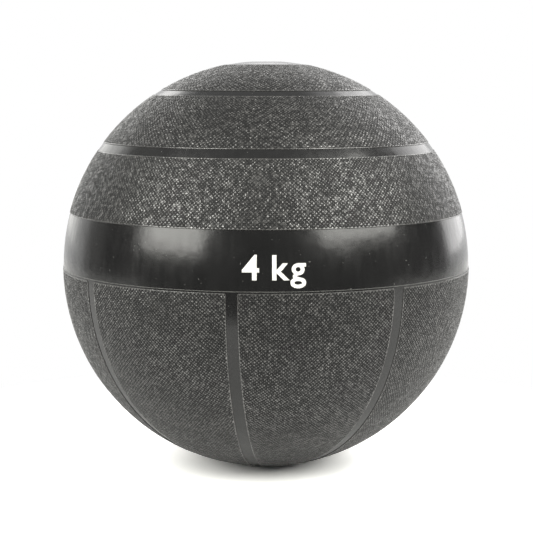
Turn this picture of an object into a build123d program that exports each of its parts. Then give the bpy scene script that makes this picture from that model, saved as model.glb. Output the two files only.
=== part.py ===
from build123d import *
import math
import os

# Inflatable rubber medicine ball, built up from the bladder outwards. All sizes are in
# millimetres, +Z is up, and the origin is the centre of the ball. The needle valve is at the
# top pole and the mould's parting plane is the equator, z = 0.

# Outer shape
BALL_DIAMETER = 230.0  # over the grained panels
PANEL_PROUD = 0.40  # the grained panels stand this far above the smooth cover
PANEL_INLAY = 2.0  # and are let this far into it

# Layers under the smooth surface, from the outside in
COVER_THICKNESS = 5.0
WEIGHT_LAYER_THICKNESS = 17.55
WINDING_THICKNESS = 1.0
BLADDER_WALL = 2.0

# Layout of the upper half: a plain band above the parting plane, then two plain rings
BAND_HEIGHT = 30.8  # measured along the surface
LOWER_RING_LATITUDE = 35.95
LOWER_RING_WIDTH = 5.3
UPPER_RING_LATITUDE = 57.95
UPPER_RING_WIDTH = 4.9
CROWN_DISC_DIAMETER = 45.6

# Layout of the lower half: grained gores between plain ribs that run down to a plain disc
RIB_COUNT = 8
RIB_WIDTH = 5.7
FIRST_RIB_AZIMUTH = 36.4  # turn about +Z from the -Y direction
GORE_CORNER_RADIUS = 1.0
BASE_DISC_DIAMETER = 45.6

# Thin flash left where the two halves of the mould meet
FIN_HEIGHT = 0.3
FIN_WIDTH = 0.6
FIN_ROOT = 0.2  # how far the flash is rooted below the smooth surface
FIN_TO_GORE = 0.5  # plain gap between the flash and the gores

# Needle valve
VALVE_RECESS = 0.6  # valve face below the crown of the smooth cover
STEM_RADIUS = 6.0
SEAT_HEAD_RADIUS = 9.0
SEAT_HEAD_THICKNESS = 2.4
SEAT_FLANGE_RADIUS = 16.0
SEAT_FLANGE_THICKNESS = 3.0
CORE_RADIUS = 3.5
CORE_LENGTH = 18.0
CORE_HEAD_RADIUS = 4.8
CORE_HEAD_THICKNESS = 1.5
NEEDLE_BORE_RADIUS = 1.1
NEEDLE_BORE_DEPTH = 7.0
NEEDLE_FUNNEL = 0.6  # depth and flare of the funnel at the mouth of the bore

# Sizes that follow from those above
PANEL_RADIUS = BALL_DIAMETER / 2
SMOOTH_RADIUS = PANEL_RADIUS - PANEL_PROUD
POCKET_RADIUS = SMOOTH_RADIUS - PANEL_INLAY
WEIGHT_RADIUS = SMOOTH_RADIUS - COVER_THICKNESS
WINDING_RADIUS = WEIGHT_RADIUS - WEIGHT_LAYER_THICKNESS
BLADDER_RADIUS = WINDING_RADIUS - WINDING_THICKNESS
AIR_RADIUS = BLADDER_RADIUS - BLADDER_WALL
VALVE_TOP = SMOOTH_RADIUS - VALVE_RECESS


def arc_angle(length):
    """Degrees that a length along the smooth surface takes up at the centre."""
    return math.degrees(length / SMOOTH_RADIUS)


def disc_latitude(diameter):
    """Latitude of the rim of a polar disc of that diameter on the smooth surface."""
    return math.degrees(math.acos(diameter / 2 / SMOOTH_RADIUS))


def hollow_ball(outer_radius, inner_radius):
    return Sphere(outer_radius) - Sphere(inner_radius)


def half(solid, keep):
    return split(solid, Plane.XY, keep=keep)


def zone(inner_radius, outer_radius, low_latitude, high_latitude):
    """Ring of a spherical shell between two latitudes, with edges square to its surface."""
    sweep = high_latitude - low_latitude
    inner_arc = CenterArc((0, 0), inner_radius, low_latitude, sweep)
    outer_arc = CenterArc((0, 0), outer_radius, low_latitude, sweep)
    low_edge = Line(inner_arc @ 0, outer_arc @ 0)
    high_edge = Line(inner_arc @ 1, outer_arc @ 1)
    profile = make_face([inner_arc, outer_arc, low_edge, high_edge])
    return revolve(Plane.XZ * profile, Axis.Z)


def post(radius, bottom, top):
    """Upright cylinder on the valve's axis."""
    return Pos(0, 0, bottom) * Cylinder(radius, top - bottom, align=(Align.CENTER, Align.CENTER, Align.MIN))


# Latitudes of the plain areas' edges
band_top = arc_angle(BAND_HEIGHT)
lower_ring_half = arc_angle(LOWER_RING_WIDTH) / 2
upper_ring_half = arc_angle(UPPER_RING_WIDTH) / 2
gore_top = -arc_angle(FIN_WIDTH / 2 + FIN_TO_GORE)
gore_bottom = -disc_latitude(BASE_DISC_DIAMETER)


def panel(low_latitude, high_latitude):
    return zone(POCKET_RADIUS, PANEL_RADIUS, low_latitude, high_latitude)


panels = {
    "shoulder_panel": panel(band_top, LOWER_RING_LATITUDE - lower_ring_half),
    "upper_panel": panel(LOWER_RING_LATITUDE + lower_ring_half, UPPER_RING_LATITUDE - upper_ring_half),
    "crown_panel": panel(UPPER_RING_LATITUDE + upper_ring_half, disc_latitude(CROWN_DISC_DIAMETER)),
}


def lower_gore():
    """Gore between the rib that points along +X and the next one counter-clockwise."""
    half_step = math.pi / RIB_COUNT
    apex = RIB_WIDTH / 2 / math.sin(half_step)
    reach = BALL_DIAMETER
    far_corner = (reach * math.cos(2 * half_step), reach * math.sin(2 * half_step))
    sector = make_face(Polyline((0, 0), (reach, 0), far_corner, close=True))
    corner = Pos(apex * math.cos(half_step), apex * math.sin(half_step), -BALL_DIAMETER)
    gore = panel(gore_bottom, gore_top) & extrude(corner * sector, BALL_DIAMETER)
    corner_edges = [edge for edge in gore.edges() if edge.geom_type == GeomType.HYPERBOLA]
    return fillet(corner_edges, GORE_CORNER_RADIUS)


def lower_gores():
    gore = lower_gore()
    step = 360 / RIB_COUNT
    return [Rot(0, 0, FIRST_RIB_AZIMUTH - 90 + step * number) * gore for number in range(RIB_COUNT)]


def fin_half(side):
    """Half of the mould's flash, above (side 1) or below (side -1) the parting plane."""
    root = SMOOTH_RADIUS - FIN_ROOT
    edge = side * FIN_WIDTH / 2
    profile = make_face(Polyline((root, 0), (SMOOTH_RADIUS + FIN_HEIGHT, 0), (root, edge), close=True))
    return revolve(Plane.XZ * profile, Axis.Z)


def cover_half(keep, side, pieces):
    """Smooth moulded half of the cover, with a pocket for each grained piece."""
    cover = half(hollow_ball(SMOOTH_RADIUS, WEIGHT_RADIUS), keep) + fin_half(side)
    for piece in pieces:
        cover -= piece
    return cover


# Valve: a rubber seat bonded to the bladder, and the self-sealing core pressed into it
flange_bottom = AIR_RADIUS - SEAT_FLANGE_THICKNESS
core_bottom = VALVE_TOP - CORE_LENGTH
core_head_bottom = VALVE_TOP - CORE_HEAD_THICKNESS
bore_bottom = VALVE_TOP - NEEDLE_BORE_DEPTH


def valve_socket():
    """Room that the seat takes up in the layers around it."""
    stem = post(STEM_RADIUS, flange_bottom, BALL_DIAMETER)
    head = post(SEAT_HEAD_RADIUS, VALVE_TOP - SEAT_HEAD_THICKNESS, BALL_DIAMETER)
    return stem + head


def valve_seat():
    flange = hollow_ball(AIR_RADIUS, flange_bottom) & post(SEAT_FLANGE_RADIUS, 0, AIR_RADIUS)
    body = valve_socket() & post(SEAT_FLANGE_RADIUS, 0, VALVE_TOP)
    core_room = post(CORE_RADIUS, core_bottom, VALVE_TOP)
    core_head_room = post(CORE_HEAD_RADIUS, core_head_bottom, VALVE_TOP)
    air_way = post(NEEDLE_BORE_RADIUS, 0, core_bottom)
    return flange + body - core_room - core_head_room - air_way


def valve_core():
    plug = post(CORE_RADIUS, core_bottom, VALVE_TOP)
    head = post(CORE_HEAD_RADIUS, core_head_bottom, VALVE_TOP)
    bore = post(NEEDLE_BORE_RADIUS, bore_bottom, VALVE_TOP)
    mouth_radius = NEEDLE_BORE_RADIUS + NEEDLE_FUNNEL
    funnel = Cone(NEEDLE_BORE_RADIUS, mouth_radius, NEEDLE_FUNNEL, align=(Align.CENTER, Align.CENTER, Align.MAX))
    return plug + head - bore - Pos(0, 0, VALVE_TOP) * funnel


socket = valve_socket()
weight_layer = hollow_ball(WEIGHT_RADIUS, WINDING_RADIUS)
gores = lower_gores()

nodes = {
    "bladder": hollow_ball(BLADDER_RADIUS, AIR_RADIUS) - socket,
    "valve_seat": valve_seat(),
    "valve_core": valve_core(),
    "thread_winding": hollow_ball(WINDING_RADIUS, BLADDER_RADIUS) - socket,
    "weight_layer_upper": half(weight_layer, Keep.TOP) - socket,
    "weight_layer_lower": half(weight_layer, Keep.BOTTOM),
    "cover_upper": cover_half(Keep.TOP, 1, panels.values()) - socket,
    "cover_lower": cover_half(Keep.BOTTOM, -1, gores),
}
nodes.update(panels)
for number, gore in enumerate(gores, 1):
    nodes[f"lower_gore_{number}"] = gore

os.makedirs("parts", exist_ok=True)
for name, solid in nodes.items():
    export_step(solid, f"parts/{name}.step")
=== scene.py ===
import math

import bmesh
import bpy
import numpy as np
from mathutils import Matrix, Vector


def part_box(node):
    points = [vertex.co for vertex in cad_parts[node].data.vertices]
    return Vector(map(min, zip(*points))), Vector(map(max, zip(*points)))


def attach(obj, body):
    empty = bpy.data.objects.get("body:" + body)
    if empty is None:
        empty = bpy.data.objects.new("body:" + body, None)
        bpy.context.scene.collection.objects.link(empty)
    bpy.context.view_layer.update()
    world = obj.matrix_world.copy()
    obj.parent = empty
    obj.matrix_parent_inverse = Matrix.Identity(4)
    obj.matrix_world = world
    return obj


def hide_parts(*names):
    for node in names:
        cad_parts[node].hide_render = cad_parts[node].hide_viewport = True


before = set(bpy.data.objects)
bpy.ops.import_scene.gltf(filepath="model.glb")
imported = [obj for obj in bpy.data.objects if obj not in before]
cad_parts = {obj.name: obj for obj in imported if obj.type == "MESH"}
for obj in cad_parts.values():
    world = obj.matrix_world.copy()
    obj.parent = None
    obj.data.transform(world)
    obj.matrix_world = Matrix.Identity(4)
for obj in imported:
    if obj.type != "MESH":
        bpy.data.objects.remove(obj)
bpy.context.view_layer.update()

MM = 0.001
CENTRE = Vector((0, 0, 0))
UP = Vector((0, 0, 1))
FULL_TURN = 2 * math.pi
SPIN_SECTORS = 20
SAME_PLACE = 0.001 * MM  # points closer than this are one
SNAP = 0.01 * MM  # looseness of a cut, and of reading where a CAD vertex lies


# ---------------------------------------------------------------- sizes taken from the frame

def radii(node):
    """Nearest and farthest distance of a CAD node's vertices from the ball's centre."""
    lengths = [vertex.co.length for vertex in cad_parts[node].data.vertices]
    return min(lengths), max(lengths)


def latitudes(node):
    """Lowest and highest latitude of a CAD node on its outer surface."""
    outer = radii(node)[1] - SNAP
    skin = [vertex.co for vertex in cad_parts[node].data.vertices if vertex.co.length > outer]
    angles = [math.asin(co.z / co.length) for co in skin]
    return min(angles), max(angles)


def middle_azimuth(node):
    """Azimuth of the middle of a gore, counter-clockwise from +X."""
    total = sum((vertex.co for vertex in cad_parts[node].data.vertices), Vector())
    return math.atan2(total.y, total.x)


GORES = sorted(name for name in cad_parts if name.startswith("lower_gore_"))
SECTOR = FULL_TURN / len(GORES)

pocket_radius, panel_radius = radii("shoulder_panel")
smooth_radius = -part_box("cover_lower")[0].z
lining_radius, flash_radius = radii("cover_lower")
shoulder_low, shoulder_high = latitudes("shoulder_panel")
upper_low, upper_high = latitudes("upper_panel")
crown_low, crown_high = latitudes("crown_panel")
gore_low, gore_high = latitudes(GORES[0])
first_azimuth = middle_azimuth(GORES[0])


def rib_half_width():
    """Distance from a rib's middle plane to the edge of the gore beside it."""
    rib_azimuth = first_azimuth - SECTOR / 2
    across = Vector((-math.sin(rib_azimuth), math.cos(rib_azimuth), 0))
    return min(vertex.co.dot(across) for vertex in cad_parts[GORES[0]].data.vertices)


rib_half = rib_half_width()

# Small features that the CAD solids leave out
EDGE_ROUND = 0.60 * MM  # width of the rounding at a grained piece's rim
EDGE_DROP = 0.38 * MM  # and its height
EDGE_STEPS = 3
GORE_CORNER = 1.0 * MM
CORNER_REACH = GORE_CORNER + 4 * MM  # the cuts that round a corner stop this far from it

# The grain is a field of small pyramids, each two cells across its corners. It is drawn coarser than
# it is on the real ball, where it would be too fine to show.
GRAIN_CELL = 1.0 * MM
# Depth of the pits between the pyramids, and their unevenness in height and along the surface
RING_GRAIN = {"depth": 0.13 * MM, "scatter": 0.12 * MM, "wander": 0.34 * MM}
GORE_GRAIN = {"depth": 0.15 * MM, "scatter": 0.10 * MM, "wander": 0.25 * MM}  # more regular
GRAIN_FLOOR = panel_radius - 0.25 * MM  # deepest pit of either


# ---------------------------------------------------------------- small helpers

def at(radius, latitude, azimuth=0.0):
    """Point at a distance from the ball's centre, by latitude and azimuth."""
    level = radius * math.cos(latitude)
    return Vector((level * math.cos(azimuth), level * math.sin(azimuth), radius * math.sin(latitude)))


def along_surface(point, direction):
    """Unit vector of a direction laid onto the ball's surface at a point."""
    out = point.normalized()
    return (direction - direction.dot(out) * out).normalized()


def even_steps(low, high, largest):
    """Values from low to high in equal steps no larger than that."""
    count = max(1, math.ceil(abs(high - low) / largest))
    return [low + (high - low) * step / count for step in range(count + 1)]


def distinct(items):
    """The items without repeats, in the order in which they first come up, so that every run is alike."""
    return list(dict.fromkeys(items))


def piece_from(bm, name, crease=math.radians(30)):
    """Turns a finished bmesh into a smooth-shaded piece with its sharp edges kept."""
    mesh = bpy.data.meshes.new(name)
    bm.to_mesh(mesh)
    bm.free()
    mesh.shade_smooth()
    mesh.set_sharp_from_angle(angle=crease)
    piece = bpy.data.objects.new(name, mesh)
    bpy.context.scene.collection.objects.link(piece)
    return piece


def chain(bm, points):
    """Vertices at those points, joined one to the next."""
    vertices = [bm.verts.new(point) for point in points]
    edges = [bm.edges.new(pair) for pair in zip(vertices, vertices[1:])]
    return vertices, edges


def turned_round(points, steps):
    """Bmesh of a closed outline in the XZ plane spun a full turn about the ball's axis.

    It is spun over one sector first and the sector is then repeated, which is much quicker.
    """
    bm = bmesh.new()
    vertices, edges = chain(bm, points)
    edges.append(bm.edges.new((vertices[-1], vertices[0])))
    sector = FULL_TURN / SPIN_SECTORS
    bmesh.ops.spin(
        bm, geom=vertices + edges, cent=CENTRE, axis=UP, angle=sector, steps=steps // SPIN_SECTORS)
    bmesh.ops.spin(
        bm, geom=bm.verts[:] + bm.edges[:] + bm.faces[:], cent=CENTRE, axis=UP,
        angle=FULL_TURN - sector, steps=SPIN_SECTORS - 1, use_duplicate=True)
    bmesh.ops.remove_doubles(bm, verts=bm.verts, dist=SAME_PLACE)
    return bm


def face_outwards(bm):
    bmesh.ops.recalc_face_normals(bm, faces=bm.faces)


# ---------------------------------------------------------------- grained rings of the upper half

def rounded_rim(low, high, radius):
    """Outline of a raised ring's rim at each end, rounded over, from the low wall to the high one."""
    turn = EDGE_ROUND / radius
    bends = [math.pi / 2 * step / EDGE_STEPS for step in range(EDGE_STEPS)]
    low_rim = [at(radius - EDGE_DROP * (1 - math.sin(a)), low + turn * (1 - math.cos(a))) for a in bends]
    high_rim = [at(radius - EDGE_DROP * (1 - math.sin(a)), high - turn * (1 - math.cos(a))) for a in bends]
    return low_rim, high_rim[::-1]


def square_rows(low, high, cell):
    """Latitudes between two others, spaced so that the cells of a ring stay square as it narrows."""
    rows = [low]
    while rows[-1] < high:
        rows.append(rows[-1] + cell * math.cos(rows[-1]))
    stretch = (high - low) / (rows[-1] - low)
    return [low + (row - low) * stretch for row in rows]


def places_of(piece):
    """Vertex places of a piece as rows of x, y, z."""
    places = np.zeros(len(piece.data.vertices) * 3)
    piece.data.vertices.foreach_get("co", places)
    return places.reshape(-1, 3)


def press_grain(piece, skin, free, raised, depth, scatter, wander, seed):
    """Presses the grain into a skin of square cells: every second vertex stays raised, as a pyramid.

    The free vertices, off the rim, also wander along the surface, and the facets are left sharp.
    """
    places = places_of(piece)
    distance = np.linalg.norm(places, axis=1)[:, None]
    generator = np.random.default_rng(seed)
    sink = np.where(raised, 0.0, depth)[:, None] + scatter * generator.random(distance.shape)
    moved = places + wander * free[:, None] * generator.uniform(-1, 1, places.shape)
    moved *= (distance - sink) / np.linalg.norm(moved, axis=1)[:, None]
    places[skin] = moved[skin]
    piece.data.vertices.foreach_set("co", places.ravel())
    bm = bmesh.new()
    bm.from_mesh(piece.data)
    bmesh.ops.connect_verts(bm, verts=[v for v in bm.verts if skin[v.index] and not raised[v.index]])
    grained = [face for face in bm.faces if all(skin[vertex.index] for vertex in face.verts)]
    facets = bmesh.ops.triangulate(bm, faces=grained)["faces"]
    for facet in facets:
        facet.smooth = False
    bm.to_mesh(piece.data)
    bm.free()


def grained_ring(name, low, high, seed):
    """Raised ring with a grained skin, closed under the grain and let into the cover."""
    middle = (low + high) / 2
    around = FULL_TURN * panel_radius * math.cos(middle) / GRAIN_CELL
    steps = 2 * SPIN_SECTORS * round(around / SPIN_SECTORS / 2)
    cell = FULL_TURN / steps
    turn = EDGE_ROUND / panel_radius
    low_rim, high_rim = rounded_rim(low, high, panel_radius)
    rows = square_rows(low + turn, high - turn, cell)
    surface = [at(panel_radius, row) for row in rows]
    underside = [at(pocket_radius, angle) for angle in even_steps(high, low, math.radians(5))]
    bm = turned_round(low_rim + surface + high_rim + underside, steps)
    face_outwards(bm)
    piece = piece_from(bm, name)
    places = places_of(piece)
    distance = np.linalg.norm(places, axis=1)
    latitude = np.arcsin(places[:, 2] / distance)
    column = np.round(np.arctan2(places[:, 1], places[:, 0]) / cell).astype(int)
    row = np.searchsorted(np.array(rows) - cell / 8, latitude)
    skin = distance > panel_radius - SAME_PLACE
    off_rim = (row > 1) & (row < len(rows))
    press_grain(piece, skin, off_rim, (row + column) % 2 == 0, seed=seed, **RING_GRAIN)
    return piece


# ---------------------------------------------------------------- grained gores of the lower half

def gore_limits(radius, inset):
    """Planes round a gore that is centred on azimuth 0, each a point and a normal into the gore."""
    half_sector = SECTOR / 2
    sides = []
    for side in (1, -1):
        into = Vector((math.sin(half_sector), -side * math.cos(half_sector), 0))
        sides.append((into * (rib_half + inset), into))
    top = (Vector((0, 0, radius * math.sin(gore_high) - inset)), -UP)
    bottom_inset = inset * math.cos(gore_low)
    bottom = (Vector((0, 0, radius * math.sin(gore_low) + bottom_inset)), UP)
    return sides, [top, bottom]


def corner_limits(radius, inset, cuts=4):
    """Planes that round off a gore's four corners, with the corner that each lies at."""
    sides, ends = gore_limits(radius, 0)
    planes = []
    for side_point, side_normal in sides:
        for end_point, end_normal in ends:
            offset = side_point.dot(side_normal)
            height = end_point.z
            level = math.sqrt(radius ** 2 - height ** 2)
            tangent = Vector((side_normal.y, -side_normal.x, 0))
            reach = math.sqrt(level ** 2 - offset ** 2)
            corner = side_normal * offset + Vector((0, 0, height))
            corner += tangent * (reach if tangent.x > 0 else -reach)
            u = along_surface(corner, side_normal)
            v = along_surface(corner, end_normal)
            spread = math.acos(u.dot(v))
            centre = corner + (u + v) * GORE_CORNER / (1 + u.dot(v))
            for cut in range(cuts):
                lean = spread * (cut + 0.5) / cuts
                share_u = math.sin(spread - lean) / math.sin(spread)
                share_v = math.sin(lean) / math.sin(spread)
                inward = share_u * u + share_v * v
                normal = share_u * side_normal / side_normal.dot(u) + share_v * end_normal / end_normal.dot(v)
                point = centre - inward * (GORE_CORNER - inset)
                planes.append((point.normalized() * radius, normal.normalized(), corner))
    return planes


def patch(bm, radius, half_width, low, high, cell):
    """Grid of square cells on the ball, centred on the meridian at azimuth 0."""
    columns = 2 * math.ceil(half_width / cell)
    rows = math.ceil((high - low) / cell)
    bmesh.ops.create_grid(bm, x_segments=columns, y_segments=rows, size=1)
    for vertex in bm.verts:
        off = vertex.co.x * columns / 2 * cell
        along = high - (1 - vertex.co.y) / 2 * rows * cell
        flat = math.cos(off)
        vertex.co = radius * Vector((flat * math.cos(along), math.sin(off), flat * math.sin(along)))


def trim(bm, point, normal, remove, near=None):
    """Cuts the bmesh along a plane, only near a corner if one is given."""
    faces = bm.faces[:]
    if near is not None:
        faces = [face for face in faces if (face.calc_center_median() - near).length < CORNER_REACH]
    edges = distinct(edge for face in faces for edge in face.edges)
    vertices = distinct(vertex for face in faces for vertex in face.verts)
    bmesh.ops.bisect_plane(
        bm, geom=faces + edges + vertices, dist=SNAP,
        plane_co=point, plane_no=normal, clear_inner=remove)


def rim_outwards(vertex, planes):
    """Direction along the surface, out of a gore, at a vertex of its cut edge."""
    point = vertex.co
    closest = sorted(planes, key=lambda plane: abs((point - plane[0]).dot(plane[1])))[:2]
    second_gap = abs((point - closest[1][0]).dot(closest[1][1]))
    chosen = closest if second_gap < 2 * SNAP else closest[:1]
    total = sum((along_surface(point, -plane[1]) for plane in chosen), Vector())
    return total.normalized()


def gore_blank():
    """Gore centred on azimuth 0, with a smooth skin of square cells, rounded rim and closed underside."""
    bm = bmesh.new()
    floor = bm.faces.layers.int.new("floor")
    cell = GRAIN_CELL / panel_radius
    shortest_edge = 0.06 * MM  # edges that the cuts leave shorter than this are closed up
    patch(bm, panel_radius, SECTOR / 2, gore_low - 2 * cell, gore_high + 2 * cell, cell)
    sides, ends = gore_limits(panel_radius, EDGE_ROUND)
    corners = corner_limits(panel_radius, EDGE_ROUND)
    planes = sides + ends + [(point, normal) for point, normal, corner in corners]
    for point, normal in planes:
        trim(bm, point, normal, remove=True)
    bmesh.ops.remove_doubles(bm, verts=bm.verts, dist=shortest_edge)
    for vertex in bm.verts:
        vertex.co = vertex.co.normalized() * panel_radius

    rim = [edge for edge in bm.edges if edge.is_boundary]
    rim_vertices = distinct(vertex for edge in rim for vertex in edge.verts)
    starts = {vertex: (vertex.co.copy(), rim_outwards(vertex, planes)) for vertex in rim_vertices}
    origin = {vertex: vertex for vertex in starts}
    for step in range(1, EDGE_STEPS + 1):
        bend = math.pi / 2 * step / EDGE_STEPS
        rim, origin = extruded_rim(bm, rim, origin)
        for vertex, first in origin.items():
            place, outwards = starts[first]
            level = place + outwards * EDGE_ROUND * math.sin(bend)
            vertex.co = level.normalized() * (panel_radius - EDGE_DROP * (1 - math.cos(bend)))
    rim, origin = extruded_rim(bm, rim, origin)
    for vertex in origin:
        vertex.co = vertex.co.normalized() * pocket_radius
    close_underside(bm, rim, floor)
    bmesh.ops.remove_doubles(bm, verts=bm.verts, dist=SNAP)
    face_outwards(bm)
    return bm


def extruded_rim(bm, rim, origin):
    """Extrudes an open rim on the spot, and says which first vertex each new one stands for."""
    made = bmesh.ops.extrude_edge_only(bm, edges=rim)["geom"]
    new_rim = [item for item in made if isinstance(item, bmesh.types.BMEdge) and item.is_boundary]
    new_origin = {}
    for vertex in (item for item in made if isinstance(item, bmesh.types.BMVert)):
        twin = next(edge.other_vert(vertex) for edge in vertex.link_edges if not edge.is_boundary)
        new_origin[vertex] = origin[twin]
    return new_rim, new_origin


def close_underside(bm, rim, tag):
    """Fills an open rim with a surface that follows the pocket's floor."""
    made = bmesh.ops.triangle_fill(bm, use_beauty=True, use_dissolve=False, edges=rim)["geom"]
    for face in (item for item in made if isinstance(item, bmesh.types.BMFace)):
        face[tag] = 1
    spacing = math.radians(4)
    cuts = [Vector((-math.sin(a), 0, math.cos(a))) for a in even_steps(gore_low, 0, spacing)[1:-1]]
    meridians = even_steps(-SECTOR / 2, SECTOR / 2, spacing)[1:-1]
    cuts += [Vector((-math.sin(a), math.cos(a), 0)) for a in meridians]
    for normal in cuts:
        faces = [face for face in bm.faces if face[tag]]
        edges = distinct(edge for face in faces for edge in face.edges if not edge.is_boundary)
        inner = [edge for edge in edges if all(face[tag] for face in edge.link_faces)]
        bmesh.ops.bisect_plane(bm, geom=faces + inner, dist=SNAP, plane_co=CENTRE, plane_no=normal)
    for vertex in bm.verts:
        if all(face[tag] for face in vertex.link_faces):
            vertex.co = vertex.co.normalized() * pocket_radius
    bmesh.ops.triangulate(bm, faces=[face for face in bm.faces if face[tag]])


def grained_gore(blank, name, azimuth, seed):
    """Copy of the gore, grained and turned to its place between two ribs."""
    bm = blank.copy()
    piece = piece_from(bm, name)
    places = places_of(piece)
    distance = np.linalg.norm(places, axis=1)
    cell = GRAIN_CELL / panel_radius
    along = np.arctan2(places[:, 2], places[:, 0]) / cell - gore_high / cell
    across = np.arcsin(places[:, 1] / distance) / cell
    off_grid = np.maximum(np.abs(along - np.round(along)), np.abs(across - np.round(across)))
    on_grid = off_grid < 0.02
    skin = distance > panel_radius - SAME_PLACE
    raised = (np.round(along) + np.round(across)).astype(int) % 2 == 0
    press_grain(piece, skin, on_grid, raised, seed=seed, **GORE_GRAIN)
    piece.data.transform(Matrix.Rotation(azimuth, 4, "Z"))
    return piece


# ---------------------------------------------------------------- smooth halves of the cover

COVER_CELL = math.radians(1.5)
SKIN_STEP = math.radians(1.2)  # between the points of the upper half's outline
LINING_STEP = math.radians(4)
COVER_STEPS = round(FULL_TURN / COVER_CELL)


def off_axis(node, height):
    """Distances from the ball's axis of a CAD node's vertices at a height."""
    vertices = [vertex.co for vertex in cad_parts[node].data.vertices]
    return [math.hypot(co.x, co.y) for co in vertices if abs(co.z - height) < SNAP]


def smooth_upper_cover():
    """Upper half of the cover: band, rings and crown disc, with pockets under the grained rings."""
    valve_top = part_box("valve_seat")[1].z
    head_radius = max(off_axis("valve_seat", valve_top))
    seat = [vertex.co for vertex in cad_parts["valve_seat"].data.vertices]
    head = [co.z for co in seat if math.hypot(co.x, co.y) > head_radius - SNAP]
    ledge = min(z for z in head if z > lining_radius)
    stem_radius = min(off_axis("valve_seat", ledge))
    pole = math.acos(head_radius / smooth_radius)
    outline = [at(lining_radius, 0)]
    edges = [0, shoulder_low, shoulder_high, upper_low, upper_high, crown_low, crown_high, pole]
    for number, (low, high) in enumerate(zip(edges, edges[1:])):
        radius = pocket_radius if number % 2 else smooth_radius
        outline += [at(radius, angle) for angle in even_steps(low, high, SKIN_STEP)]
    outline += [
        Vector((head_radius, 0, ledge)),
        Vector((stem_radius, 0, ledge)),
    ]
    stem_latitude = math.acos(stem_radius / lining_radius)
    outline += [at(lining_radius, angle) for angle in even_steps(stem_latitude, 0, LINING_STEP)[:-1]]
    bm = turned_round(outline, COVER_STEPS)
    face_outwards(bm)
    return piece_from(bm, "smooth_upper_cover")


def smooth_lower_cover():
    """Lower half of the cover: ribs and base disc, with a pocket under each gore."""
    bm = bmesh.new()
    meridian = [at(smooth_radius, angle, -SECTOR / 2) for angle in even_steps(-math.pi / 2, 0, COVER_CELL)]
    vertices, edges = chain(bm, meridian)
    steps = COVER_STEPS // len(GORES)
    bmesh.ops.spin(bm, geom=vertices + edges, cent=CENTRE, axis=UP, angle=SECTOR, steps=steps)
    bmesh.ops.remove_doubles(bm, verts=bm.verts, dist=SAME_PLACE)
    sides, ends = gore_limits(smooth_radius, 0)
    corners = corner_limits(smooth_radius, 0)
    for point, normal in sides + ends:
        trim(bm, point, normal, remove=False)
    for point, normal, corner in corners:
        trim(bm, point, normal, remove=False, near=corner)
    for vertex in bm.verts:
        vertex.co = vertex.co.normalized() * smooth_radius
    planes = sides + ends + [(point, normal) for point, normal, corner in corners]
    pocket = [
        face for face in bm.faces
        if all((face.calc_center_median() - point).dot(normal) > 0 for point, normal in planes)
    ]
    made = bmesh.ops.extrude_face_region(bm, geom=pocket)["geom"]
    bmesh.ops.delete(bm, geom=pocket, context="FACES")
    for vertex in (item for item in made if isinstance(item, bmesh.types.BMVert)):
        vertex.co = vertex.co.normalized() * pocket_radius
    bmesh.ops.rotate(bm, verts=bm.verts, cent=CENTRE, matrix=Matrix.Rotation(first_azimuth, 3, "Z"))
    sector = bm.verts[:] + bm.edges[:] + bm.faces[:]
    for number in range(1, len(GORES)):
        copy = bmesh.ops.duplicate(bm, geom=sector)["geom"]
        vertices = [item for item in copy if isinstance(item, bmesh.types.BMVert)]
        turn = Matrix.Rotation(SECTOR * number, 3, "Z")
        bmesh.ops.rotate(bm, verts=vertices, cent=CENTRE, matrix=turn)
    bmesh.ops.remove_doubles(bm, verts=bm.verts, dist=0.005 * MM)
    line_lower_cover(bm)
    face_outwards(bm)
    return piece_from(bm, "smooth_lower_cover")


def line_lower_cover(bm):
    """Closes the lower cover with its parting face and its inner lining."""
    rim = [edge for edge in bm.edges if edge.is_boundary]
    pole = -math.pi / 2
    last = pole + 0.001  # the lining's last ring is just off the pole, where its points are then merged
    for angle in even_steps(0, pole, math.radians(5)):
        made = bmesh.ops.extrude_edge_only(bm, edges=rim)["geom"]
        rim = [item for item in made if isinstance(item, bmesh.types.BMEdge) and item.is_boundary]
        for vertex in distinct(vertex for edge in rim for vertex in edge.verts):
            azimuth = math.atan2(vertex.co.y, vertex.co.x)
            vertex.co = at(lining_radius, max(angle, last), azimuth)
    middle = [vertex for vertex in bm.verts if vertex.co.length < lining_radius + MM
              and math.hypot(vertex.co.x, vertex.co.y) < MM]
    bmesh.ops.pointmerge(bm, verts=middle, merge_co=(0, 0, -lining_radius))


# ---------------------------------------------------------------- mould flash and weight mark

def mould_flash():
    """Thin line of rubber that was squeezed out where the two halves of the mould met.

    Most of it is torn away, unevenly. A few short stretches stand at their full height and curl up.
    """
    steps = 1800
    height = flash_radius - smooth_radius
    half_width = 0.28 * MM
    root = smooth_radius - 0.1 * MM
    torn_share = 0.985  # of its length
    least_torn = 0.25  # share of the height that is gone where it is torn
    more_torn = 0.35  # and what the unevenness adds to that at most
    stretch = 4  # steps over which the tear stays the same
    curl = 0.25 * MM
    lower_flank = (smooth_radius + 0.6 * height, -0.5 * half_width)
    tip = (flash_radius, 0.3 * half_width)
    outline = [(root, -half_width), lower_flank, tip, (root, half_width)]
    bm = turned_round([Vector((x, 0, z)) for x, z in outline], steps)
    generator = np.random.default_rng(11)
    shift = generator.random(steps)
    whole = generator.random(steps) > torn_share
    for vertex in bm.verts:
        if math.hypot(vertex.co.x, vertex.co.y) < smooth_radius:
            continue
        column = round(math.atan2(vertex.co.y, vertex.co.x) / FULL_TURN * steps) % steps
        torn = 0 if whole[column] else least_torn + more_torn * shift[column // stretch]
        radius = flash_radius - torn * height
        vertex.co.x *= radius / flash_radius
        vertex.co.y *= radius / flash_radius
        vertex.co.z += curl if whole[column] else 0
    face_outwards(bm)
    return piece_from(bm, "mould_flash", crease=math.radians(60))


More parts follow.
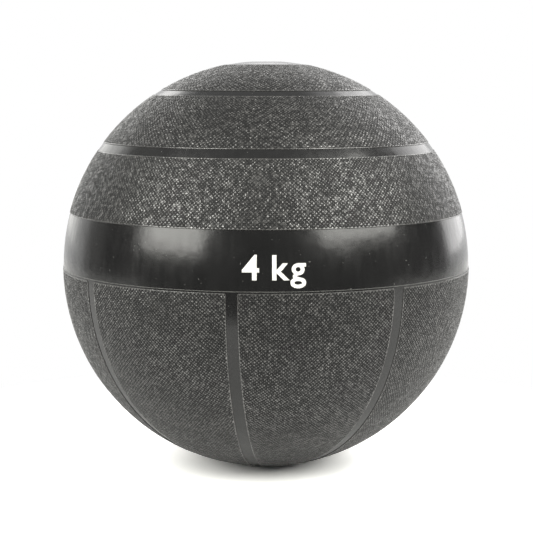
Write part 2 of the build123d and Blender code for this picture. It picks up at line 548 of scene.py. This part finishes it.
def weight_mark():
    """Plain printed mass, a thin coat of ink that follows the curve of the band."""
    height = 12.8 * MM
    baseline = 6.2 * MM
    azimuth = math.radians(-88)
    ink = 0.06 * MM
    figure_share = 0.73  # height of a figure as a share of the font's size
    weld = 0.02 * MM  # shorter edges are closed up
    strip = 1.5 * MM  # the coat is cut into squares this wide, so that it bends with the band
    text = bpy.data.curves.new("weight_mark", "FONT")
    text.body = "4 kg"
    text.size = height / figure_share
    text.align_x = "CENTER"
    text.offset = 0.30 * MM
    text.space_character = 1.2
    text.space_word = 0.4
    text.resolution_u = 6
    lettering = bpy.data.objects.new("lettering", text)
    flat = bpy.data.meshes.new_from_object(lettering)
    bm = bmesh.new()
    bm.from_mesh(flat)
    bmesh.ops.remove_doubles(bm, verts=bm.verts, dist=weld)
    bmesh.ops.dissolve_degenerate(bm, edges=bm.edges, dist=weld)
    bpy.data.objects.remove(lettering)
    low = min(vertex.co.x for vertex in bm.verts), min(vertex.co.y for vertex in bm.verts)
    high = max(vertex.co.x for vertex in bm.verts), max(vertex.co.y for vertex in bm.verts)
    for axis, direction in enumerate((Vector((1, 0, 0)), Vector((0, 1, 0)))):
        for place in even_steps(low[axis], high[axis], strip)[1:-1]:
            geom = bm.verts[:] + bm.edges[:] + bm.faces[:]
            bmesh.ops.bisect_plane(
                bm, geom=geom, dist=weld, plane_co=direction * place, plane_no=direction)
    bmesh.ops.dissolve_degenerate(bm, edges=bm.edges, dist=weld)
    bmesh.ops.triangulate(bm, faces=bm.faces)
    top = bmesh.ops.extrude_face_region(bm, geom=bm.faces[:], use_keep_orig=True)["geom"]
    for vertex in (item for item in top if isinstance(item, bmesh.types.BMVert)):
        vertex.co.z += ink
    for vertex in bm.verts:
        x, y, z = vertex.co
        vertex.co = at(smooth_radius + z, (baseline + y) / smooth_radius, azimuth + x / smooth_radius)
    return piece_from(bm, "weight_mark")


# ---------------------------------------------------------------- materials

def linear(hex_code):
    """Linear colour with alpha of an sRGB hex code."""
    parts = [int(hex_code[start:start + 2], 16) / 255 for start in (1, 3, 5)]
    return [c / 12.92 if c <= 0.04045 else ((c + 0.055) / 1.055) ** 2.4 for c in parts] + [1.0]


def add(tree, kind, inputs=None, **settings):
    """Adds a node with its settings, and gives its inputs values or links from other nodes' outputs."""
    node = tree.nodes.new(kind)
    for name, value in settings.items():
        setattr(node, name, value)
    for key, value in (inputs or {}).items():
        if isinstance(value, bpy.types.NodeSocket):
            tree.links.new(value, node.inputs[key])
        else:
            node.inputs[key].default_value = value
    return node


def new_material(name, **surface):
    """Material with one Principled surface, whose constant sockets are set here."""
    material = bpy.data.materials.new(name)
    material.use_nodes = True
    tree = material.node_tree
    tree.nodes.clear()
    body = add(tree, "ShaderNodeBsdfPrincipled")
    for socket, value in surface.items():
        body.inputs[socket.replace("_", " ")].default_value = value
    add(tree, "ShaderNodeOutputMaterial", {"Surface": body.outputs["BSDF"]})
    place = add(tree, "ShaderNodeTexCoord").outputs["Object"]
    return material, tree, body, place


def per_metre(size):
    """Texture scale at which one feature of a noise takes up a real size in metres."""
    return 1 / size


def moulded_rubber():
    """Natural rubber pressed against a polished mould: near black with a wet-looking gloss.

    Handling leaves broad dull smudges, wiping leaves upright streaks, and dust sits on it as pale
    specks. The skin is never quite flat, so reflections of the lamps waver.
    """
    material, tree, body, place = new_material("moulded_smooth_rubber", IOR=1.52)
    smudges = add(tree, "ShaderNodeTexNoise", {
        "Vector": place, "Scale": per_metre(28 * MM), "Detail": 5, "Roughness": 0.6})
    upright = add(tree, "ShaderNodeMapping", {"Vector": place, "Scale": (1, 1, 0.12)})
    streaks = add(tree, "ShaderNodeTexNoise", {
        "Vector": upright.outputs["Vector"], "Scale": per_metre(3 * MM), "Detail": 3})
    dull = add(tree, "ShaderNodeMath", {
        0: smudges.outputs["Fac"], 1: streaks.outputs["Fac"]}, operation="MULTIPLY")
    roughness = add(tree, "ShaderNodeMapRange", {
        "Value": dull.outputs["Value"], "From Min": 0.10, "From Max": 0.42, "To Min": 0.17, "To Max": 0.26})
    tree.links.new(roughness.outputs["Result"], body.inputs["Roughness"])

    film = add(tree, "ShaderNodeMix", {
        "Factor": dull.outputs["Value"], "A": linear("#161616"), "B": linear("#242424")}, data_type="RGBA")
    dust = add(tree, "ShaderNodeTexNoise", {
        "Vector": place, "Scale": per_metre(1.1 * MM), "Detail": 0})
    specks = add(tree, "ShaderNodeMapRange", {
        "Value": dust.outputs["Fac"], "From Min": 0.83, "From Max": 0.88, "To Max": 0.35})
    dusty = add(tree, "ShaderNodeMix", {
        "Factor": specks.outputs["Result"], "A": film.outputs["Result"], "B": linear("#8a8a86")},
        data_type="RGBA")
    tree.links.new(dusty.outputs["Result"], body.inputs["Base Color"])

    waves = add(tree, "ShaderNodeTexNoise", {
        "Vector": place, "Scale": per_metre(9 * MM), "Detail": 2})
    skin = add(tree, "ShaderNodeTexNoise", {
        "Vector": place, "Scale": per_metre(1.2 * MM), "Detail": 3})
    waviness = add(tree, "ShaderNodeBump", {
        "Height": waves.outputs["Fac"], "Strength": 1.0, "Distance": 0.12 * MM})
    texture = add(tree, "ShaderNodeBump", {
        "Height": skin.outputs["Fac"], "Strength": 1.0, "Distance": 0.012 * MM,
        "Normal": waviness.outputs["Normal"]})
    tree.links.new(texture.outputs["Normal"], body.inputs["Normal"])
    return material


def grained_rubber():
    """The same rubber pressed against an etched mould: a dull charcoal with small glints.

    The pits hold chalky mould release, which gives the rubber a sheen, and their colour is painted near
    black as painted shade. The tops are rubbed a little shinier, so the surface sparkles where a lamp is
    mirrored. Height is told by the distance from the ball's centre: below the deepest pit lie the walls
    at a piece's rim, which stay grey so that they don't draw a line.
    """
    material, tree, body, place = new_material(
        "grained_rubber", IOR=1.6, Sheen_Weight=0.12, Sheen_Roughness=0.4)
    distance = add(tree, "ShaderNodeVectorMath", {0: place}, operation="LENGTH").outputs["Value"]
    height = add(tree, "ShaderNodeMapRange", {
        "Value": distance, "From Min": GRAIN_FLOOR + 0.08 * MM, "From Max": panel_radius - 0.01 * MM},
        interpolation_type="SMOOTHSTEP").outputs["Result"]
    wall = add(tree, "ShaderNodeMapRange", {
        "Value": distance, "From Min": GRAIN_FLOOR - 0.03 * MM, "From Max": GRAIN_FLOOR,
        "To Min": 0.5, "To Max": 0.0})
    cover = add(tree, "ShaderNodeMath", {0: height, 1: wall.outputs["Result"]}, operation="MAXIMUM")
    patches = add(tree, "ShaderNodeTexNoise", {
        "Vector": place, "Scale": per_metre(30 * MM), "Detail": 4, "Roughness": 0.6})
    crumbs = add(tree, "ShaderNodeTexNoise", {
        "Vector": place, "Scale": per_metre(1.3 * MM), "Detail": 2})
    uneven = add(tree, "ShaderNodeMath", {
        0: patches.outputs["Fac"], 1: crumbs.outputs["Fac"]}, operation="MULTIPLY")
    lift = add(tree, "ShaderNodeMapRange", {
        "Value": uneven.outputs["Value"], "From Min": 0.12, "From Max": 0.38, "To Min": 0.45, "To Max": 1.4})
    # painted shade: the colour runs from the rubber's own grey on the tops to near black in the pits, by
    # their depth
    shade = add(tree, "ShaderNodeMath", {
        0: cover.outputs["Value"], 1: lift.outputs["Result"]}, operation="MULTIPLY", use_clamp=True)
    colour = add(tree, "ShaderNodeMix", {
        "Factor": shade.outputs["Value"], "A": linear("#050505"), "B": linear("#636260")}, data_type="RGBA")
    tree.links.new(colour.outputs["Result"], body.inputs["Base Color"])
    roughness = add(tree, "ShaderNodeMapRange", {
        "Value": height, "From Max": 0.7, "To Min": 0.60, "To Max": 0.09})
    tree.links.new(roughness.outputs["Result"], body.inputs["Roughness"])
    gloss = add(tree, "ShaderNodeMapRange", {
        "Value": height, "To Min": 0.28, "To Max": 1.0})
    tree.links.new(gloss.outputs["Result"], body.inputs["Specular IOR Level"])
    pits = add(tree, "ShaderNodeTexNoise", {
        "Vector": place, "Scale": per_metre(0.7 * MM), "Detail": 1})
    rough_skin = add(tree, "ShaderNodeBump", {
        "Height": pits.outputs["Fac"], "Strength": 1.0, "Distance": 0.08 * MM})
    tree.links.new(rough_skin.outputs["Normal"], body.inputs["Normal"])
    return material


def printing_ink():
    """White pad-printing ink: a matt film that lies unevenly where the rubber is not quite flat."""
    material, tree, body, place = new_material("pad_printed_ink", Roughness=0.5, IOR=1.5)
    cover = add(tree, "ShaderNodeTexNoise", {
        "Vector": place, "Scale": per_metre(1.5 * MM), "Detail": 3})
    colour = add(tree, "ShaderNodeMix", {
        "Factor": cover.outputs["Fac"], "A": linear("#dcdbd6"), "B": linear("#f4f3ef")}, data_type="RGBA")
    tree.links.new(colour.outputs["Result"], body.inputs["Base Color"])
    return material


def mottled_rubber(name, dark, light, size, low, high, depth):
    """Rubber that is not a show surface: mottled colour, uneven dull gloss and a fine texture."""
    material, tree, body, place = new_material(name, IOR=1.5)
    mottle = add(tree, "ShaderNodeTexNoise", {
        "Vector": place, "Scale": per_metre(size), "Detail": 4})
    colour = add(tree, "ShaderNodeMix", {
        "Factor": mottle.outputs["Fac"], "A": linear(dark), "B": linear(light)}, data_type="RGBA")
    roughness = add(tree, "ShaderNodeMapRange", {
        "Value": mottle.outputs["Fac"], "To Min": low, "To Max": high})
    texture = add(tree, "ShaderNodeBump", {
        "Height": mottle.outputs["Fac"], "Strength": 1.0, "Distance": depth})
    tree.links.new(colour.outputs["Result"], body.inputs["Base Color"])
    tree.links.new(roughness.outputs["Result"], body.inputs["Roughness"])
    tree.links.new(texture.outputs["Normal"], body.inputs["Normal"])
    return material


def wound_nylon():
    """Nylon thread wound in close turns: pale, slightly shiny, ribbed by the turns lying side by side.

    Each rib stands for a bundle of turns, because a single thread is too fine to show.
    """
    bundle = 6.53 * MM
    wave_radians = 10 * math.sqrt(3)  # the diagonal wave turns by this much in a unit of length
    material, tree, body, place = new_material("wound_nylon_thread", IOR=1.53)
    turns = add(tree, "ShaderNodeTexWave", {
        "Vector": place, "Scale": FULL_TURN / wave_radians / bundle, "Distortion": 6, "Detail": 2,
        "Detail Scale": 3}, wave_type="BANDS", bands_direction="DIAGONAL")
    colour = add(tree, "ShaderNodeMix", {
        "Factor": turns.outputs["Fac"], "A": linear("#a9a592"), "B": linear("#e2dfd0")}, data_type="RGBA")
    roughness = add(tree, "ShaderNodeMapRange", {
        "Value": turns.outputs["Fac"], "To Min": 0.55, "To Max": 0.35})
    ribs = add(tree, "ShaderNodeBump", {
        "Height": turns.outputs["Fac"], "Strength": 1.0, "Distance": 0.2 * MM})
    tree.links.new(colour.outputs["Result"], body.inputs["Base Color"])
    tree.links.new(roughness.outputs["Result"], body.inputs["Roughness"])
    tree.links.new(ribs.outputs["Normal"], body.inputs["Normal"])
    return material


smooth_finish = moulded_rubber()
grained_finish = grained_rubber()
ink_finish = printing_ink()
valve_finish = mottled_rubber("pressed_valve_rubber", "#191919", "#262626", 1.0 * MM, 0.35, 0.55, 0.02 * MM)
butyl_finish = mottled_rubber("butyl_bladder_rubber", "#141414", "#20201f", 6 * MM, 0.40, 0.60, 0.05 * MM)
weight_finish = mottled_rubber("filled_weight_rubber", "#2a2927", "#3d3b38", 2 * MM, 0.70, 0.95, 0.30 * MM)
# The flash is paler than the cover: partly the dull torn rubber, partly a painted highlight for the light its
# thin edge catches.
flash_painted_highlight_finish = mottled_rubber("torn_flash_rubber_painted_highlight", "#3c3c3b", "#6a6a67", 2.5 * MM, 0.35, 0.55, 0.02 * MM)
thread_finish = wound_nylon()


# ---------------------------------------------------------------- build the pieces

pieces = {}
pieces["shoulder_panel"] = grained_ring("grained_shoulder_panel", shoulder_low, shoulder_high, seed=1)
pieces["upper_panel"] = grained_ring("grained_upper_panel", upper_low, upper_high, seed=2)
pieces["crown_panel"] = grained_ring("grained_crown_panel", crown_low, crown_high, seed=3)
blank = gore_blank()
for number, node in enumerate(GORES):
    pieces[node] = grained_gore(blank, "grained_" + node, middle_azimuth(node), seed=10 + number)
blank.free()
pieces["cover_upper"] = smooth_upper_cover()
pieces["cover_lower"] = smooth_lower_cover()
flash = mould_flash()
mark = weight_mark()

for node, piece in pieces.items():
    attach(piece, "root")
    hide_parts(node)
    is_cover = node.startswith("cover_")
    piece.data.materials.append(smooth_finish if is_cover else grained_finish)
for piece, finish in ((flash, flash_painted_highlight_finish), (mark, ink_finish)):
    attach(piece, "root")
    piece.data.materials.append(finish)

kept_nodes = {
    "valve_seat": valve_finish,
    "valve_core": valve_finish,
    "bladder": butyl_finish,
    "thread_winding": thread_finish,
    "weight_layer_upper": weight_finish,
    "weight_layer_lower": weight_finish,
}
for node, finish in kept_nodes.items():
    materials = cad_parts[node].data.materials
    materials.clear()
    materials.append(finish)


# ---------------------------------------------------------------- floor, light and camera

def studio_floor():
    """White floor that keeps the ball's shadow and runs out into the white surroundings.

    The camera sees it in two coats that add up, so that it is white where no shadow falls; the ball is
    lit by a plain grey one.
    """
    half_wide, half_deep, set_back = 1.0, 0.65, 0.33
    bm = bmesh.new()
    bmesh.ops.create_grid(bm, x_segments=1, y_segments=1, size=1)
    bmesh.ops.scale(bm, verts=bm.verts, vec=(half_wide, half_deep, 1))
    bmesh.ops.translate(bm, verts=bm.verts, vec=(0, set_back, -smooth_radius))
    floor = piece_from(bm, "studio_floor")
    material = bpy.data.materials.new("white_floor")
    material.use_nodes = True
    tree = material.node_tree
    tree.nodes.clear()
    place = add(tree, "ShaderNodeTexCoord").outputs["Object"]
    away = add(tree, "ShaderNodeVectorMath", {0: place}, operation="LENGTH").outputs["Value"]
    fade = add(tree, "ShaderNodeMapRange", {
        "Value": away, "From Min": 0.20, "From Max": 0.30}, interpolation_type="SMOOTHSTEP")
    paper = add(tree, "ShaderNodeBsdfDiffuse", {"Color": (0.80, 0.80, 0.80, 1)})
    first_coat = add(tree, "ShaderNodeBsdfDiffuse", {"Color": (0.75, 0.75, 0.75, 1)})
    second_coat = add(tree, "ShaderNodeBsdfDiffuse", {"Color": (0.75, 0.75, 0.75, 1)})
    seen_paper = add(tree, "ShaderNodeAddShader", {
        0: first_coat.outputs["BSDF"], 1: second_coat.outputs["BSDF"]})
    white = add(tree, "ShaderNodeEmission", {"Strength": 1.0})
    seen = add(tree, "ShaderNodeMixShader", {
        0: fade.outputs["Result"], 1: seen_paper.outputs["Shader"], 2: white.outputs["Emission"]})
    rays = add(tree, "ShaderNodeLightPath")
    both = add(tree, "ShaderNodeMixShader", {
        0: rays.outputs["Is Camera Ray"], 1: paper.outputs["BSDF"], 2: seen.outputs["Shader"]})
    add(tree, "ShaderNodeOutputMaterial", {"Surface": both.outputs["Shader"]})
    floor.data.materials.append(material)


def softbox(name, azimuth, elevation, across, upright, radiance, tint):
    """Oblong soft lamp aimed at the ball. Its place and the angles it fills from there are in degrees.

    Azimuth is counted from the camera's side, to the camera's right. A radiance of 1 is white.
    """
    distance = 2.2
    lamp = bpy.data.lights.new(name, "AREA")
    lamp.shape = "RECTANGLE"
    lamp.size = 2 * distance * math.tan(math.radians(across) / 2)
    lamp.size_y = 2 * distance * math.tan(math.radians(upright) / 2)
    lamp.energy = math.pi * lamp.size * lamp.size_y * radiance
    lamp.color = tint
    light = bpy.data.objects.new(name, lamp)
    light.location = at(distance, math.radians(elevation), math.radians(azimuth) - math.pi / 2)
    light.rotation_euler = (CENTRE - light.location).to_track_quat("-Z", "Y").to_euler()
    light.visible_camera = False
    bpy.context.scene.collection.objects.link(light)


WARM = (1.0, 0.995, 0.94)
NEUTRAL = (1.0, 0.985, 0.98)
softbox("left_softbox", -54, 30, 37, 40, 8.2, WARM)
softbox("right_softbox", 55, 35, 46, 38, 7.9, WARM)
softbox("left_side_softbox", -146, 18, 26, 40, 1.0, WARM)
softbox("left_fill", -116, 22, 32, 50, 0.25, WARM)
softbox("right_side_softbox", 135, 22, 34, 48, 2.2, NEUTRAL)
softbox("right_back_softbox", 150, 47, 28, 18, 0.9, NEUTRAL)
softbox("back_softbox", 180, 29, 54, 18, 1.5, NEUTRAL)


def surroundings():
    """White room behind the ball and a dim one in front of it; the camera sees plain white."""
    world = bpy.data.worlds.new("surroundings")
    world.use_nodes = True
    tree = world.node_tree
    tree.nodes.clear()
    direction = add(tree, "ShaderNodeTexCoord").outputs["Generated"]
    parts = add(tree, "ShaderNodeSeparateXYZ", {"Vector": direction})
    behind = add(tree, "ShaderNodeMapRange", {
        "Value": parts.outputs["Y"], "From Min": 0.40, "From Max": 0.62}, interpolation_type="SMOOTHSTEP")
    above = add(tree, "ShaderNodeMapRange", {
        "Value": parts.outputs["Z"], "From Min": 0.50, "From Max": 0.68, "To Min": 1.0, "To Max": 0.4},
        interpolation_type="SMOOTHSTEP")
    wall = add(tree, "ShaderNodeMath", {
        0: behind.outputs["Result"], 1: above.outputs["Result"]}, operation="MULTIPLY")
    ceiling = add(tree, "ShaderNodeMapRange", {
        "Value": parts.outputs["Z"], "From Min": 0.55, "From Max": 0.80, "To Min": 0.10, "To Max": 0.45},
        interpolation_type="SMOOTHSTEP")
    level = add(tree, "ShaderNodeMath", {
        0: wall.outputs["Value"], 1: ceiling.outputs["Result"]}, operation="MAXIMUM")
    room = add(tree, "ShaderNodeBackground", {"Strength": level.outputs["Value"]})
    white = add(tree, "ShaderNodeBackground", {"Strength": 1.0, "Color": (1, 1, 1, 1)})
    rays = add(tree, "ShaderNodeLightPath")
    both = add(tree, "ShaderNodeMixShader", {
        0: rays.outputs["Is Camera Ray"], 1: room.outputs["Background"], 2: white.outputs["Background"]})
    add(tree, "ShaderNodeOutputWorld", {"Surface": both.outputs["Shader"]})
    room.inputs["Color"].default_value = (1, 1, 1, 1)
    bpy.context.scene.world = world


def camera():
    """Long lens a little above the ball's middle, looking slightly down at it."""
    view = bpy.data.cameras.new("camera")
    view.lens = 101.92
    view.sensor_width = 36
    eye = bpy.data.objects.new("camera", view)
    eye.location = at(7.5 * panel_radius, math.radians(7.2), -math.pi / 2)
    aim = Vector((0.30 * MM, 0, -1.83 * MM))
    eye.rotation_euler = (aim - eye.location).to_track_quat("-Z", "Y").to_euler()
    bpy.context.scene.collection.objects.link(eye)
    bpy.context.scene.camera = eye


studio_floor()
surroundings()
camera()
bpy.context.scene.view_settings.view_transform = "Standard"
